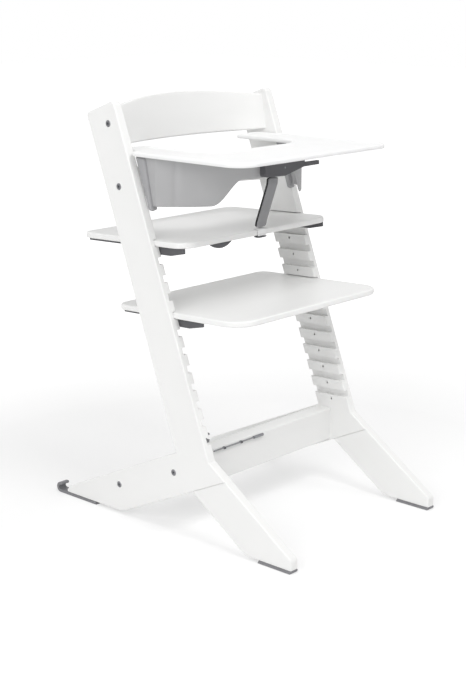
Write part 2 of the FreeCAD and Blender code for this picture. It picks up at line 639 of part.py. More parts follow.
lock_bolts = []
for kind in PLATES:
    screws = []
    front = num(kind + "Front") + num(kind + "RailAhead") - num(kind + "Y")
    rear = num(kind + "Rear") - num("railRearSet") - num(kind + "Y")
    low, head_high = -num("railFlangeThick"), num("plateScrewHeadHigh")
    for side in SIDES.values():
        x = side * (num("inner") - num("slideGap") - num("railWall") - num("railFlange") / 2)
        for y in (front + num("plateScrewSet"), (front + rear) / 2, rear - num("plateScrewSet")):
            head = Part.makeCylinder(num("plateScrewHead") / 2, head_high, V(x, y, low - head_high))
            shank = Part.makeCylinder(num("screwWide") / 2, num("plateScrewLong"), V(x, y, low))
            screws.append(on_plate(head.fuse(shank).removeSplitter(), kind))
        z = num(kind + "Z") - num("holeDrop")
        lock = socket_bolt(num("lockHead"), num("lockHeadHigh"), num("holeWide") - 0.1,
                           num("railWall") + 2 * num("slideGap") + num("lockReach"), num("lockKey"))
        lock.rotate(V(0, 0, 0), V(0, 1, 0), 90 * side)
        lock.translate(V(side * (num("inner") - num("railWall") - 2 * num("slideGap")),
                         num("postFoot") + num("slope") * z, z))
        lock_bolts.append(lock)
    feature(kind + "_rail_screws", Part.Compound(screws))
feature("lock_bolts", Part.Compound(lock_bolts))


def seat_lever():
    """The seat's lever, a half-disc paddle on an arm under the seat's front edge, and its pin."""
    x, half, deep = num("leverPlace"), num("paddleHalf"), num("paddleDeep")
    top, thick = -num("leverGap"), num("leverThick")
    front = num("seatFront") - num("seatY") + num("leverAhead")
    rear, hinge = front + num("leverArm"), front + num("leverArm") - num("leverPinSet")
    bow = (half ** 2 + deep ** 2) / (2 * deep)
    disc = Part.makeCylinder(bow, thick, V(x, front, top - deep + bow), V(0, 1, 0))
    below = Part.makeBox(4 * half, 2 * thick, deep + 1, V(x - 2 * half, front - thick / 2, top - deep - 1))
    wide, end = num("leverWide") / 2, num("leverEnd") / 2
    arm = slab(((x - wide, front), (x + wide, front), (x + end, rear), (x - end, rear)),
               (0, 0, end - 1, end - 1), top - thick, top)
    wide = num("leverPin") + num("leverPinPlay")
    hole = rod((x, hinge, top - 2 * thick), (x, hinge, top + thick), wide)
    feature("seat_lever", on_plate(disc.common(below).fuse(arm).cut(hole).removeSplitter(), "seat"))
    base, head_high = top - thick - 0.3, 2
    pin = rod((x, hinge, base), (x, hinge, num("plate") - thick), num("leverPin"))
    head = rod((x, hinge, base - head_high), (x, hinge, base), num("leverPinHead"))
    feature("seat_lever_pin", on_plate(pin.fuse(head).removeSplitter(), "seat"))


seat_lever()

# ---------------------------------------------------------------- belly guard

def guard():
    """A thin wall bowed forwards in plan, cut out over the legs, with a folded upper edge."""
    outer, half = num("guardRound"), num("guardHalf")
    centre, top, high = num("guardCentre"), num("guardTop"), num("guardHigh")
    low, hips = top - high, top - num("guardArch")

    def ring(wall, height):
        solid = Part.makeCylinder(outer, height, V(0, centre, top - height))
        return solid.cut(Part.makeCylinder(outer - wall, 2 * height, V(0, centre, top - 1.5 * height)))

    foot, hip = num("archLow"), num("archHigh")
    large, small, corner = num("archFoot"), num("archRound"), num("guardEndRound")
    front = front_slab(((-half, low), (-foot, low), (-hip, hips), (hip, hips), (foot, low), (half, low),
                        (half, top), (-half, top)), (corner, large, small, small, large, corner, 0, 0),
                       centre - outer - 1, centre)
    wall = ring(num("guardThick"), high + 1).fuse(ring(num("rimWide"), num("rimThick")))
    return wall.common(front).removeSplitter()


feature("guard", guard())


def hook(side):
    """The grip at one end of the guard that stands against the post's front edge."""
    top = num("guardTop")
    low = top - num("hookHigh")

    def post_front(z):
        return num("postFoot") + num("slope") * z - num("postHalf") - num("hookGap")

    reach = num("guardRound") - num("guardThick")
    front = num("guardCentre") - math.sqrt(reach ** 2 - num("guardHalf") ** 2)
    left, right = sorted((side * num("hookNear"), side * num("hookFar")))
    profile = ((front + 0.3, low), (post_front(low), low), (post_front(top), top),
               (front + num("hookTop"), top))
    return side_slab(profile, (3.5, 3.5, 0, 5), left, right)


for word, side in SIDES.items():
    feature(word + "_guard_hook", hook(side))


def latch():
    """The housing on the guard's front, under the tray, with the release lever and its pin."""
    top, front = num("guardTop"), num("guardFront")
    hinge, drop, pin = num("releaseHinge"), num("releaseDrop"), num("releasePin")
    left, right, high = num("housingLeft"), num("housingRight"), num("housingHigh")
    ceiling = top - num("housingTop")
    outline = ((left, top - high), (num("housingKnee"), top - num("housingFall")),
               (right, top - num("housingStep")), (right, ceiling), (left, ceiling))
    block = front_slab(outline, (6, 30, 6, 3, 3), front - num("housingDeep"), front + num("housingBack"))
    ring = Part.makeCylinder(num("guardRound") + 0.3, 3 * high, V(0, num("guardCentre"), top - 2 * high))
    near, far = front - num("releaseSet") - num("releaseThick"), front - num("releaseSet")
    low, lift = top - drop - num("releaseHigh") / 2, num("releaseHigh")
    reach, play = num("releaseEnd"), num("slotSet")
    window = ((hinge - 14, low - 1), (reach, low - 1), (reach, ceiling - 3), (hinge - 14, ceiling - 3))
    slot = front_slab(window, (0, 0, 0, 0), near - play, far + play)
    hole = rod((hinge, front - 20, top - drop), (hinge, front + 1, top - drop), pin + num("releasePlay"))
    feature("latch_housing", block.cut(ring).cut(slot).cut(hole))
    arm = front_slab(((hinge - lift + 2, low), (reach, low + 1), (reach, low + 1 + num("releaseTip")),
                      (hinge - lift + 2, low + lift)), (4, 1, 1, 4), near, far)
    feature("tray_release_lever", arm.cut(hole))
    feature("release_pin", rod((hinge, front - num("housingDeep"), top - drop),
                               (hinge, front + 0.7, top - drop), pin))


latch()


def crotch_bar():
    """The bar between the legs: from the housing down to a hook round the seat's front edge."""
    top, front, half = num("guardTop") - num("barDrop"), num("guardFront"), num("barHalf")
    seat, thick, lip, play = num("seatFront"), num("barThick"), num("barLip"), num("barPlay")
    fall = math.tan(math.radians(num("plateTilt")))
    level = num("seatZ") + num("plateUp") + (num("seatY") - seat) * fall
    high, under = level + num("plate") + play, level - play
    hook_end, lead = seat + num("barHook"), front - num("barAhead")
    profile = ((lead + 2, top), (seat - thick, high + 4), (seat - thick, level - thick),
               (hook_end, level - thick), (hook_end, under - 0.3), (seat - play + 0.2, under),
               (seat - play + 0.2, high), (seat + lip, high - 0.4), (seat + lip, high + num("barOver")),
               (lead + 11, top))
    return side_slab(profile, (1.5, 12, 2, 1.5, 0.8, 0.3, 0.3, 1.5, 8, 1.5), -half, half)


feature("crotch_bar", crotch_bar())

# ---------------------------------------------------------------- tray

def tray():
    """A thin board with shoulders before the posts, arms between them and a cut-out for the child."""
    half, front, tip = num("trayHalf"), num("trayFront"), num("trayTip")
    low, high = num("trayLow"), num("trayLow") + num("trayThick")
    shoulder, neck = num("trayShoulder"), num("inner") - num("neckSet")
    cut, cut_half = num("cutFront"), num("cutHalf")
    shoulder_round, neck_round = num("shoulderRound"), num("neckRound")
    end_round, tip_round = num("armEndRound"), num("armTipRound")

    def outline(inset):
        right = ((half - inset, front + inset), (half - inset, shoulder - inset),
                 (neck - inset, shoulder - inset), (neck - inset, tip - inset),
                 (cut_half + inset, tip - inset), (cut_half + inset, cut - inset))
        corner, cut_round = num("trayCorner") - inset, num("cutRound") + inset
        radii = (corner, max(shoulder_round - inset, 2), neck_round, max(end_round - inset, 2),
                 max(tip_round - inset, 2), cut_round)
        left = [(-x, y) for x, y in reversed(right)]
        return [*right, *left], [*radii, *reversed(radii)]

    body = slab(*outline(0), low, high)
    rim = [edge for edge in body.Edges if edge.BoundBox.ZLength < 0.01]
    body = body.makeFillet(num("trayRound"), rim)
    return body.cut(slab(*outline(num("trayRim")), high - num("trayDish"), high + 5))


feature("tray", tray())

# ---------------------------------------------------------------- hex key kept on the stretcher

key_wide, grip_wide = num("keyWide"), num("keyGrip")
key_y = num("stretcherFront") - grip_wide / 2 - num("keyGap")
key_z = num("stretcherLow") + num("stretcherHigh") - num("keyDrop")
bend, half = num("keyBend"), num("clipHalf")
key = rod((num("keyLeft"), key_y, key_z), (bend + 1, key_y, key_z), key_wide)
key = key.fuse(rod((bend, key_y, key_z), (num("keyRight"), key_y, key_z), grip_wide)).removeSplitter()
feature("hex_key", key)
clips = []
for x in (num("clipFirst"), num("clipSecond")):
    block = ((x - half, key_z - half), (x + half, key_z - half), (x + half, key_z + half - 1),
             (x - half, key_z + half - 1))
    clip = front_slab(block, (0.6, 0.6, 0.6, 0.6), key_y - num("clipAhead"), num("stretcherFront"))
    passage = rod((x - 2 * half, key_y, key_z), (x + 2 * half, key_y, key_z), key_wide + num("keyPlay"))
    clips.append(clip.cut(passage))
feature("key_clips", Part.Compound(clips))

# ---------------------------------------------------------------- check and write

doc.recompute()
for item in doc.Objects:
    if any(word in ("Invalid", "Error") for word in item.State):
        raise RuntimeError("failed: " + item.Label)
bad = [item.Label for item in nodes if item.Shape.isNull() or not item.Shape.isValid()]
if bad:
    raise RuntimeError("bad shapes: " + ", ".join(bad))
os.makedirs("parts", exist_ok=True)
for item in nodes:
    item.Shape.exportStep("parts/%s.step" % item.Label)
    print("%-22s %2d solid(s) %10.0f mm3" % (item.Label, len(item.Shape.Solids), item.Shape.Volume))
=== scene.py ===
# %% [markdown]
# # A white wooden high chair
# Every board, plate, screw and joint of the chair comes in from model.glb as a frame piece. This script
# finishes its surfaces, remakes the moulded shells with smooth
# surfaces, and sets the camera, the lamps and a pale floor.

# %% Load the frame and keep its outer box
import math

import bpy
import numpy as np
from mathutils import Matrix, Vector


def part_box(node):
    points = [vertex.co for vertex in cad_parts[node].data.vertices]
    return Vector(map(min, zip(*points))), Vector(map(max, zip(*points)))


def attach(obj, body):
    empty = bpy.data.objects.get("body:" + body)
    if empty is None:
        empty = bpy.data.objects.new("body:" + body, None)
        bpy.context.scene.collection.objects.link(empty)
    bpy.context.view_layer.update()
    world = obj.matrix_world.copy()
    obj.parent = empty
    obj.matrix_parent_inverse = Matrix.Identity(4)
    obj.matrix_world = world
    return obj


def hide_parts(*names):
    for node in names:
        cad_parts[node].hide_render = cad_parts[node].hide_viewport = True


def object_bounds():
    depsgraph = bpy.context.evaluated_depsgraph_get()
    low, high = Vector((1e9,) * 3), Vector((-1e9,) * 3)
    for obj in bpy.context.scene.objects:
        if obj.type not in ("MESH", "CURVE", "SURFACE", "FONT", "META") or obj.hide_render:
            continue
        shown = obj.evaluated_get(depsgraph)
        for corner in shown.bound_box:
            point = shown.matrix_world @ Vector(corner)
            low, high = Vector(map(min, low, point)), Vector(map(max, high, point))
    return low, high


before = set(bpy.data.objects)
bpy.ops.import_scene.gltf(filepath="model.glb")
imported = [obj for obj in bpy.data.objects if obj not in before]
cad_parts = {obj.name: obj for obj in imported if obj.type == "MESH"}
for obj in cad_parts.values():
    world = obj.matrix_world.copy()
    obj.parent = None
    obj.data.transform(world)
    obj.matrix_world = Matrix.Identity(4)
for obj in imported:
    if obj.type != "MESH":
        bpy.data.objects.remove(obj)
cad_box = [[float(value) for value in corner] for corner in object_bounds()]
low_corner, high_corner = np.array(cad_box)
print("nodes", len(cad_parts), "box", np.round(low_corner, 3), np.round(high_corner, 3))

MM = 0.001

# %% [markdown]
# ## Finishes
# A colour is written as it looks on a screen (sRGB) and turned to linear light once. A node is
# added with its settings and links by one small function, so that a material reads as a short recipe.


# %% Colours and nodes
def linear(hex_colour):
    """sRGB hex to linear light: x/12.92 below 0.04045, else ((x+0.055)/1.055)^2.4."""
    parts = np.array([int(hex_colour[k:k + 2], 16) for k in (1, 3, 5)]) / 255
    light = np.where(parts <= 0.04045, parts / 12.92, ((parts + 0.055) / 1.055) ** 2.4)
    return (*[float(value) for value in light], 1.0)


def add(material, kind, settings=None, links=None):
    """Adds one node; settings are its properties or input values, links feed its inputs."""
    node = material.node_tree.nodes.new(kind)
    for name, value in (settings or {}).items():
        if hasattr(node, name):
            setattr(node, name, value)
        else:
            node.inputs[name].default_value = value
    for name, source in (links or {}).items():
        material.node_tree.links.new(source, node.inputs[name])
    return node


def new_material(name, shader_values):
    """A material with one Principled shader whose constants are set on its own sockets."""
    material = bpy.data.materials.new(name)
    material.use_nodes = True
    shader = material.node_tree.nodes["Principled BSDF"]
    for socket, value in shader_values.items():
        shader.inputs[socket].default_value = value
    return material, shader


# %% [markdown]
# ## White lacquer on beech
# The boards are solid beech under sprayed water-based lacquer. The film is satin; the eye sees a
# slight unevenness from the pores below it and a tiny drift in tone along the grain. The grain runs
# along each board, so the pattern is stretched along the board's own direction.


# %% Lacquered wood
WHITE = "#ECECEB"
WHITE_SHADE = "#E6E6E5"


def lacquered_wood(name, turn_deg, axis="X"):
    """Satin white lacquer; the grain is a noise 40 times longer than wide, turned to the board."""
    material, shader = new_material(name, {"Roughness": 0.42, "IOR": 1.48, "Coat Weight": 0.12,
                                           "Coat Roughness": 0.25})
    place = add(material, "ShaderNodeTexCoord").outputs["Object"]
    turn = [0.0, 0.0, 0.0]
    turn["XYZ".index(axis)] = math.radians(turn_deg)
    pore_mm = 1.6
    turned = add(material, "ShaderNodeMapping", {"Rotation": turn}, {"Vector": place})
    long_way = add(material, "ShaderNodeMapping", {"Scale": (1, 1 / 40, 1)}, {"Vector": turned.outputs[0]})
    pores = add(material, "ShaderNodeTexNoise", {"Scale": 1 / (pore_mm * MM), "Detail": 3.0},
                {"Vector": long_way.outputs[0]})
    drift = add(material, "ShaderNodeTexNoise", {"Scale": 1 / (60 * MM), "Detail": 2.0},
                {"Vector": long_way.outputs[0]})
    tone = add(material, "ShaderNodeMix", {"data_type": "RGBA"}, {"Factor": drift.outputs["Fac"]})
    tone.inputs["A"].default_value = linear(WHITE)
    tone.inputs["B"].default_value = linear(WHITE_SHADE)
    bump = add(material, "ShaderNodeBump", {"Strength": 0.05, "Distance": 0.1 * MM},
               {"Height": pores.outputs["Fac"]})
    gloss = add(material, "ShaderNodeMapRange", {"To Min": 0.38, "To Max": 0.47},
                {"Value": pores.outputs["Fac"]})
    material.node_tree.links.new(tone.outputs["Result"], shader.inputs["Base Color"])
    material.node_tree.links.new(bump.outputs["Normal"], shader.inputs["Normal"])
    material.node_tree.links.new(gloss.outputs["Result"], shader.inputs["Roughness"])
    return material


# %% [markdown]
# ## Moulded plastics
# The tray and guard are injection-moulded polypropylene with a fine satin texture. The clips, glides
# and the latch are glass-filled nylon in greys, a little rougher, with a spark-eroded grain.


# %% Plastics
def moulded(name, colour, shade, roughness, grain_mm, depth_mm):
    """A moulded plastic: fine cell-like grain as bump, and a broad faint drift in tone."""
    material, shader = new_material(name, {"IOR": 1.49})
    place = add(material, "ShaderNodeTexCoord").outputs["Object"]
    grain = add(material, "ShaderNodeTexNoise", {"Scale": 1 / (grain_mm * MM), "Detail": 2.0},
                {"Vector": place})
    drift = add(material, "ShaderNodeTexNoise", {"Scale": 1 / (45 * MM), "Detail": 2.0}, {"Vector": place})
    tone = add(material, "ShaderNodeMix", {"data_type": "RGBA"}, {"Factor": drift.outputs["Fac"]})
    tone.inputs["A"].default_value = linear(colour)
    tone.inputs["B"].default_value = linear(shade)
    bump = add(material, "ShaderNodeBump", {"Strength": 0.15, "Distance": depth_mm * MM},
               {"Height": grain.outputs["Fac"]})
    gloss = add(material, "ShaderNodeMapRange", {"To Min": roughness - 0.04, "To Max": roughness + 0.04},
                {"Value": grain.outputs["Fac"]})
    material.node_tree.links.new(tone.outputs["Result"], shader.inputs["Base Color"])
    material.node_tree.links.new(bump.outputs["Normal"], shader.inputs["Normal"])
    material.node_tree.links.new(gloss.outputs["Result"], shader.inputs["Roughness"])
    return material


white_polypropylene = moulded("white_polypropylene_satin", "#EDEDED", "#E8E8E8", 0.40, 0.9, 0.03)
guard_polypropylene = moulded("pale_grey_polypropylene_satin", "#ACACAD", "#A8A8A9", 0.42, 0.9, 0.03)
mid_grey_nylon = moulded("mid_grey_nylon_matt", "#A2A2A4", "#9B9B9D", 0.46, 0.8, 0.05)
grey_nylon = moulded("grey_nylon_matt", "#8C8C8E", "#858587", 0.50, 0.8, 0.05)
glide_nylon = moulded("glide_nylon_worn", "#828285", "#7A7A7D", 0.52, 0.8, 0.05)
# Black, used only for the strip behind the crotch bar: painted shade on the bar's side faces.
side_shade_black = moulded("painted_side_shade_black_matt", "#2E2E30", "#29292B", 0.52, 0.8, 0.05)
dark_nylon = moulded("dark_grey_nylon_matt", "#58585B", "#515154", 0.52, 0.8, 0.05)

# %% [markdown]
# ## Zinc-plated steel
# Bolts and screws are turned steel with a thin bright zinc layer. Turning leaves rings too fine to
# see; what shows is a soft, slightly blotchy grey metal.


# %% Steel
def zinc_plate(name, colour):
    material, shader = new_material(name, {"Metallic": 1.0, "Base Color": linear(colour)})
    place = add(material, "ShaderNodeTexCoord").outputs["Object"]
    spots = add(material, "ShaderNodeTexNoise", {"Scale": 1 / (1.5 * MM), "Detail": 3.0}, {"Vector": place})
    gloss = add(material, "ShaderNodeMapRange", {"To Min": 0.28, "To Max": 0.42},
                {"Value": spots.outputs["Fac"]})
    material.node_tree.links.new(gloss.outputs["Result"], shader.inputs["Roughness"])
    return material


zinc = zinc_plate("zinc_plated_steel", "#8E8F92")
bare_beech = moulded("bare_beech", "#C9A67C", "#BD976C", 0.6, 1.2, 0.1)

# %% [markdown]
# ## Which finish goes where
# A frame piece keeps its mesh and only gets a finish in its material slots. Each board gets lacquer
# with the grain along its own length, as the joiner cuts it.


# %% Finishes on the frame pieces
POST_LEAN_DEG = 20.2
SIDES = ("right", "left")


def leg_angle(node):
    """The angle of a leg board above the floor, from the ratio of its height to its run."""
    low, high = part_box(node)
    return math.degrees(math.atan2(high[2] - low[2], high[1] - low[1]))


def paint(names, material):
    for name in names:
        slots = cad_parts[name].data.materials
        if not slots:
            slots.append(material)
        for k in range(len(slots)):
            slots[k] = material


post_lacquer = lacquered_wood("lacquer_on_post", -(90 - POST_LEAN_DEG))
rear_lacquer = lacquered_wood("lacquer_on_rear_leg", leg_angle("right_rear_leg") + 5)
front_lacquer = lacquered_wood("lacquer_on_front_leg", -leg_angle("right_front_leg") - 5)
cross_lacquer = lacquered_wood("lacquer_on_cross_members", 90, "Z")
paint([side + "_post" for side in SIDES], post_lacquer)
paint([side + "_rear_leg" for side in SIDES], rear_lacquer)
paint([side + "_front_leg" for side in SIDES], front_lacquer)
paint(["front_stretcher", "rear_crossbar", "backrest", "lower_backrest", "seat_plate", "foot_plate"],
      cross_lacquer)
paint(["key_clips"], dark_nylon)
paint([side + part for side in SIDES for part in ("_seat_rail", "_foot_rail")], dark_nylon)
paint([side + part for side in SIDES for part in ("_front_glide", "_rear_glide")], glide_nylon)
paint(["latch_housing", "tray_release_lever", "seat_lever"], dark_nylon)
paint(["glide_screws", "frame_bolts", "barrel_nuts", "lock_bolts", "seat_rail_screws", "foot_rail_screws",
       "seat_lever_pin", "release_pin", "hex_key"], zinc)
paint(["frame_dowels"], bare_beech)
print("painted", len(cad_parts), "frame pieces")

# %% [markdown]
# ## The moulded shells
# The baby set and the tray are injection mouldings: no true edge on them is sharp, and their walls
# turn softly. A frame solid has exact but hard forms, so these are made again as surfaces. Boxes with
# bevels would be quicker, but they can't follow the bowed wall or the tray's dished top. Each shape is
# a closed section carried along a path or round an outline, worked out as one numpy array.


# %% One helper turns a grid of points into a closed skin
def skin(name, grid, material, body, nodes, closed_path=False):
    """A mesh from points[along, around, xyz]; each ring is closed, and an open path gets end caps.

    Quads join point (i, j) to (i+1, j), (i+1, j+1) and (i, j+1), with j counted round the ring.
    """
    rows, ring = grid.shape[:2]
    steps = rows if closed_path else rows - 1
    i, j = np.meshgrid(np.arange(steps), np.arange(ring), indexing="ij")
    after, beside = (i + 1) % rows, (j + 1) % ring
    quads = np.stack([i * ring + j, after * ring + j, after * ring + beside, i * ring + beside], axis=-1)
    faces = quads.reshape(-1, 4).tolist()
    if not closed_path:
        faces += [list(range(ring)), list(range(rows * ring - 1, (rows - 1) * ring - 1, -1))]
    mesh = bpy.data.meshes.new(name)
    mesh.from_pydata(grid.reshape(-1, 3).tolist(), [], faces)
    mesh.validate()
    mesh.update()
    piece = bpy.data.objects.new(name, mesh)
    bpy.context.collection.objects.link(piece)
    if signed_volume(grid, closed_path) < 0:
        mesh.flip_normals()
    mesh.polygons.foreach_set("use_smooth", np.ones(len(mesh.polygons), dtype=bool))
    mesh.materials.append(material)
    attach(piece, body)
    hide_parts(*nodes)
    print(name, len(mesh.polygons), "faces")
    return piece


def signed_volume(grid, closed_path):
    """Six times the volume inside the skin, by the divergence theorem; below zero if inside out."""
    a, b = grid, np.roll(grid, -1, axis=1)
    c, d = np.roll(b, -1, axis=0), np.roll(a, -1, axis=0)
    if not closed_path:
        a, b, c, d = a[:-1], b[:-1], c[:-1], d[:-1]
    total = np.einsum("ijk,ijk->", a, np.cross(d, c)) + np.einsum("ijk,ijk->", a, np.cross(c, b))
    if not closed_path:
        for ring, sign in ((grid[0], 1), (grid[-1], -1)):
            middle = ring.mean(axis=0)
            total += sign * np.einsum("ik,ik->", np.broadcast_to(middle, ring.shape),
                                      np.cross(ring, np.roll(ring, -1, axis=0)))
    return total


def rounded_corners(corners, radii, per_arc):
    """Points round a closed outline: each corner becomes an arc of its radius, tangent to both sides.

    The arc's centre lies on the corner's bisector at radius / sin(half the corner's angle).
    """
    corners = np.asarray(corners, float)
    before, after = np.roll(corners, 1, axis=0) - corners, np.roll(corners, -1, axis=0) - corners
    before /= np.linalg.norm(before, axis=1, keepdims=True)
    after /= np.linalg.norm(after, axis=1, keepdims=True)
    half = np.arccos(np.clip((before * after).sum(axis=1), -1, 1)) / 2
    bisector = before + after
    bisector /= np.linalg.norm(bisector, axis=1, keepdims=True)
    radii = np.asarray(radii, float)
    centres = corners + bisector * (radii / np.sin(half))[:, None]
    starts = corners + before * (radii / np.tan(half))[:, None] - centres
    ends = corners + after * (radii / np.tan(half))[:, None] - centres
    turn = np.linspace(0, 1, per_arc)[None, :, None]
    sweep = (np.pi - 2 * half)[:, None, None]
    arcs = (starts[:, None] * np.sin((1 - turn) * sweep) + ends[:, None] * np.sin(turn * sweep)) / np.sin(sweep)
    return (centres[:, None] + arcs).reshape(-1, corners.shape[1])


# %% [markdown]
# ## The tray
# A thin polypropylene board with a dished top: a low rolled rim runs round the whole outline, and a
# soft cove leads from it down to the flat. Seen from above the outline has shoulders before the posts,
# two arms between them and the cut-out for the child. The section across the rim is carried round
# the outline; the flat top and bottom then close as one face each.

# %% Outline and rim section of the tray
tray_low, tray_high = (np.array(corner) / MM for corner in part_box("tray"))
post_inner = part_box("left_post")[0][0] / MM
NECK_CLEAR = 4.0
CUT_HALF = 135.0
CUT_FRONT = -46.0
TRAY_SHOULDER = 86.525


def tray_corners(inset):
    """Corners and radii of the tray's outline, counter-clockwise, moved inwards by inset (mm)."""
    half, front, tip = tray_high[0] - inset, tray_low[1] + inset, tray_high[1] - inset
    neck, shoulder = post_inner - NECK_CLEAR - inset, TRAY_SHOULDER - inset
    cut, cut_front = CUT_HALF + inset, CUT_FRONT - inset
    right = [(half, front), (half, shoulder), (neck, shoulder), (neck, tip), (cut, tip), (cut, cut_front)]
    radii = [40 - inset, 12 - 0.5 * inset, 4 + 0.5 * inset, 14 - 0.6 * inset, 7 - 0.3 * inset, 65 + inset]
    left = [(-x, y) for x, y in reversed(right)]
    return right + left, radii + radii[::-1]


RIM_SECTION_MM = (
    # inset from the outline, height above the tray's underside
    (12.0, 0.0), (7.0, 0.0), (2.6, 0.0), (1.3, 0.4), (0.4, 1.4), (0.0, 2.8), (0.0, 4.6), (0.2, 6.4),
    (0.9, 7.8), (2.0, 8.7), (3.4, 9.0), (4.8, 8.8), (6.2, 8.1), (7.6, 7.2), (9.2, 6.6), (11.0, 6.45), (13.0, 6.45),
)


def tray_skin():
    """Each row of the grid is the outline at one inset and height; the rows run round the section."""
    rows = []
    for inset, height in RIM_SECTION_MM:
        flat = rounded_corners(*tray_corners(inset), per_arc=14)
        level = np.full((len(flat), 1), tray_low[2] + height)
        rows.append(np.hstack([flat, level]))
    return np.array(rows) * MM


tray = skin("tray_board", tray_skin(), white_polypropylene, "tray_body", ["tray"])

# %% [markdown]
# ## The belly guard
# One thin wall bowed round the child's belly, with two arches cut out over the thighs and an upper
# edge folded inwards to carry the tray. Towards each end the wall turns back sharply at a crease and
# dies into the grip. The wall's section is a rounded strip; its lower edge follows the arches.

# %% Guard wall
guard_low, guard_high = (np.array(corner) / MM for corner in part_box("guard"))
GUARD_RADIUS = 246.0
GUARD_WALL = 3.0
GUARD_RIM = 8.0
ARCH_LOW, ARCH_HIGH = 118.0, 86.0
ARCH_UP = 46.0
GUARD_TALL = 94.0
guard_centre = guard_low[1] + GUARD_RADIUS
CREASE_AT, CREASE_WIDE, CREASE_DEEP = 184.0, 4.0, 2.0
GRIP_TOP_Y, GRIP_LEAN = 62.0, 0.20


def smooth_step(value):
    """3v^2 - 2v^3 between 0 and 1, flat outside."""
    value = np.clip(value, 0, 1)
    return value * value * (3 - 2 * value)


def grip_front(z):
    """The line, in the side view, along which the wall meets its grip; it leans less than the post."""
    return GRIP_TOP_Y - (guard_high[2] - z) * GRIP_LEAN


def guard_skin():
    """x runs along the wall; the section goes down the outer face, round the edge and up the inner.

    The wall stands on the circle y = centre - sqrt(r^2 - x^2); past the circle it runs straight back
    to its grip. Its lower edge is at the arch's height near the middle and eases to the full depth
    between ARCH_HIGH and ARCH_LOW. The crease is a shallow groove, a bell curve of x about CREASE_AT.
    """
    half = guard_high[0]
    even = np.linspace(-1, 1, 161)
    bow = half * (0.35 * np.sin(even * np.pi / 2) + 0.65 * even)
    back = np.linspace(0, 1, 13)[1:]
    x = np.concatenate([np.full(12, -half), bow, np.full(12, half)])
    behind = np.concatenate([back[::-1], np.zeros(161), back])
    ease = smooth_step((np.abs(x) - (ARCH_HIGH - 12)) / (ARCH_LOW - ARCH_HIGH + 26))
    lower = guard_high[2] - ARCH_UP - (GUARD_TALL - ARCH_UP) * ease
    top = guard_high[2]
    crease = CREASE_DEEP * np.exp(-((np.abs(x) - CREASE_AT) / CREASE_WIDE) ** 2)

    def point(depth, z):
        z = np.broadcast_to(z, x.shape)
        inward = np.abs(x) - depth * behind ** 0.25
        radius = GUARD_RADIUS - depth * (behind == 0) - crease
        y = guard_centre - np.sqrt(radius ** 2 - x ** 2)
        y = y + behind * np.maximum(grip_front(z) + 3 - y, 0)
        return np.stack([np.sign(x) * np.where(behind > 0, inward, np.abs(x)), y, z], axis=-1)

    rows = [point(depth, top - drop) for depth, drop in ((0.9, 0.0), (0.3, 0.4), (0.0, 1.2), (0.0, 3.5))]
    down = np.linspace(0.08, 0.92, 12)
    for part in down:
        rows.append(point(0.0, top - 3.5 - part * (top - 3.5 - lower - 1.2)))
    for depth, lift in ((0.0, 1.2), (0.4, 0.4), (1.0, 0.0), (2.0, 0.0), (2.6, 0.4), (3.0, 1.2)):
        rows.append(point(depth, lower + lift))
    for part in down[::-1]:
        rows.append(point(GUARD_WALL, top - 3.5 - part * (top - 3.5 - lower - 1.2)))
    for depth, drop in ((3.0, 4.2), (3.6, 3.3), (4.6, 3.0), (7.0, 3.0), (7.7, 2.5), (8.0, 1.6), (7.7, 0.5),
                        (7.0, 0.0)):
        rows.append(point(depth, top - drop))
    return np.array(rows).transpose(1, 0, 2) * MM


guard = skin("guard_wall", guard_skin(), guard_polypropylene, "baby_guard", ["guard"])

# %% [markdown]
# ## The grips at the guard's ends
# Each end of the wall is held by a soft grip that leans with the post and clips to its front edge.
# It is a swept rounded strip: the section is a superellipse, which has the full sides and soft corners
# of a moulded grip, and the path leans as the post does.

# %% Grips


def rounded_section(half_width, half_depth, power, count):
    """Points on |x/a|^n + |y/b|^n = 1, by the angle: each is sign(cos) |cos|^(2/n), and so for sin."""
    angle = np.linspace(0, 2 * np.pi, count, endpoint=False)
    across = half_width * np.sign(np.cos(angle)) * np.abs(np.cos(angle)) ** (2 / power)
    deep = half_depth * np.sign(np.sin(angle)) * np.abs(np.sin(angle)) ** (2 / power)
    return across, deep


def dome(part, end):
    """How wide the section is along the path: full in the middle, round over the last share, end."""
    distance = np.minimum(part, 1 - part) / end
    return np.sqrt(np.clip(1 - (1 - np.clip(distance, 0, 1)) ** 2, 0.0004, 1))


def grip_skin(node):
    """A leaning strip from the wall's end to the post's front edge; both ends are domed."""
    low, high = (np.array(corner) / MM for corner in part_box(node))
    lean = math.tan(math.radians(POST_LEAN_DEG))
    part = np.linspace(0, 1, 41)
    z = high[2] - (high[2] - low[2]) * part
    rear = high[1] - (high[2] - z) * lean
    front = np.minimum(grip_front(z), rear - GRIP_LEAST)
    scale = dome(part, 0.05)
    half_y = (rear - front) / 2 * scale
    middle_y = rear - (rear - front) / 2 * (0.35 + 0.65 * scale)
    across, deep = rounded_section((high[0] - low[0]) / 2, 1.0, 3.2, 40)
    x = (high[0] + low[0]) / 2 + across[None, :] * scale[:, None]
    y = middle_y[:, None] + deep[None, :] * half_y[:, None]
    return np.stack([x, y, np.broadcast_to(z[:, None], x.shape)], axis=-1) * MM


GRIP_LEAST = 9.0
for side in SIDES:
    node = side + "_guard_hook"
    skin(side + "_grip", grip_skin(node), mid_grey_nylon, "baby_guard", [node])
